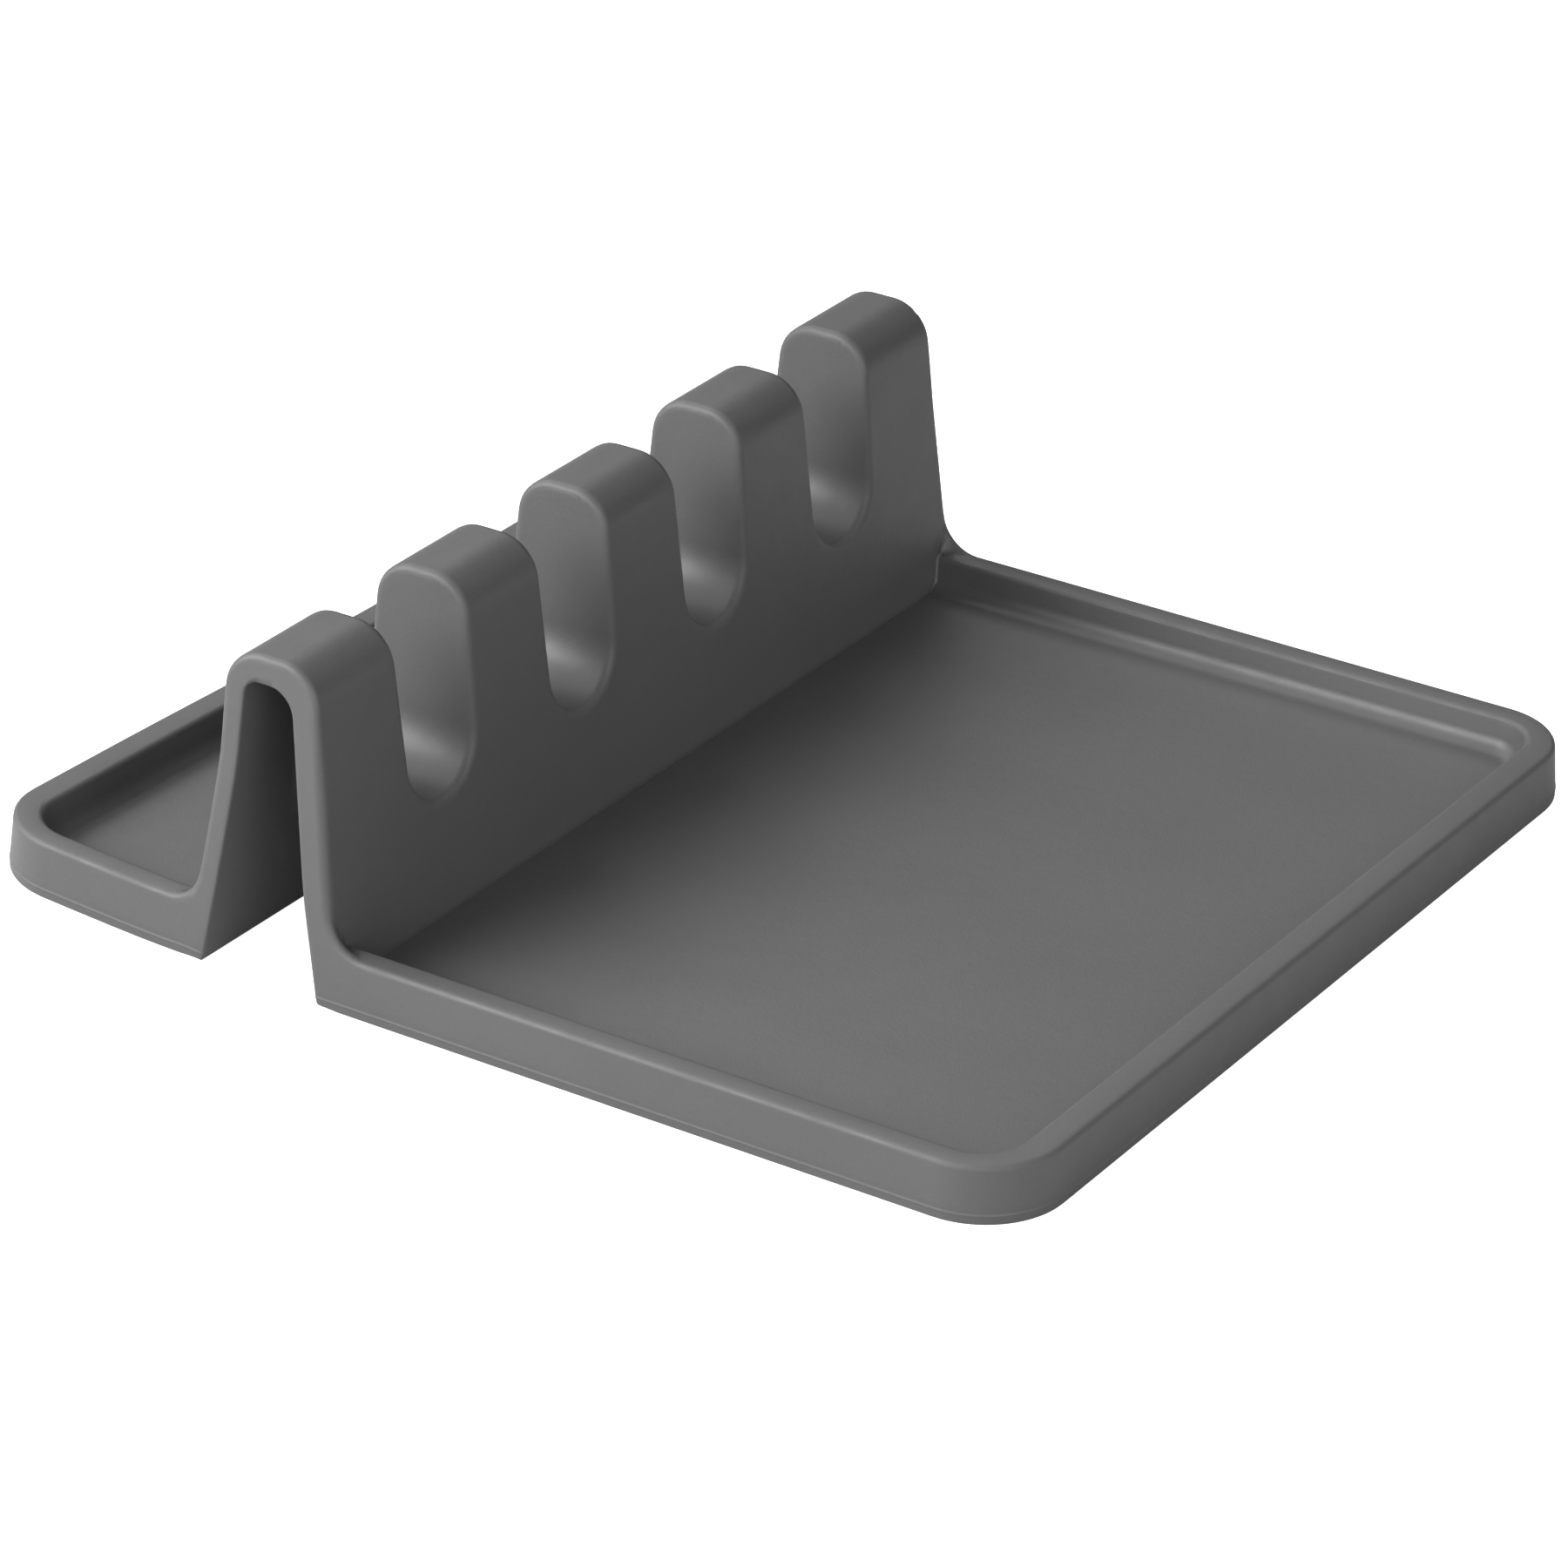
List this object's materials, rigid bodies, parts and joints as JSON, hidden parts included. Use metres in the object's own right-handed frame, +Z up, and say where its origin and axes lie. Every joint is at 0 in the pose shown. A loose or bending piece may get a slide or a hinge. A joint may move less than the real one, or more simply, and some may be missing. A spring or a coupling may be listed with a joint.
{
  "type": "spoon rest",
  "caption": "Soft silicone spoon rest: a wide rimmed drip tray and a narrow back tray on either side of a hollow ridge with round-bottomed slots for handles.",
  "frame": {"origin": "middle of the bounding box at the table, under the whole rest", "axes": "+X along the ridge, +Y from the drip tray's front edge to the back tray, +Z up"},
  "size_m": [0.18, 0.194, 0.0555],
  "materials": {
    "silicone": "matte moulded silicone, dark warm grey"
  },
  "bodies": {
    "root": {"drip_tray": "silicone", "back_tray": "silicone", "ridge_front_wall": "silicone", "ridge_back_wall": "silicone", "finger_1": "silicone", "finger_2": "silicone", "finger_3": "silicone", "finger_4": "silicone", "finger_5": "silicone", "slot_trough_1": "silicone", "slot_trough_2": "silicone", "slot_trough_3": "silicone", "slot_trough_4": "silicone"}
  },
  "joints": []
}
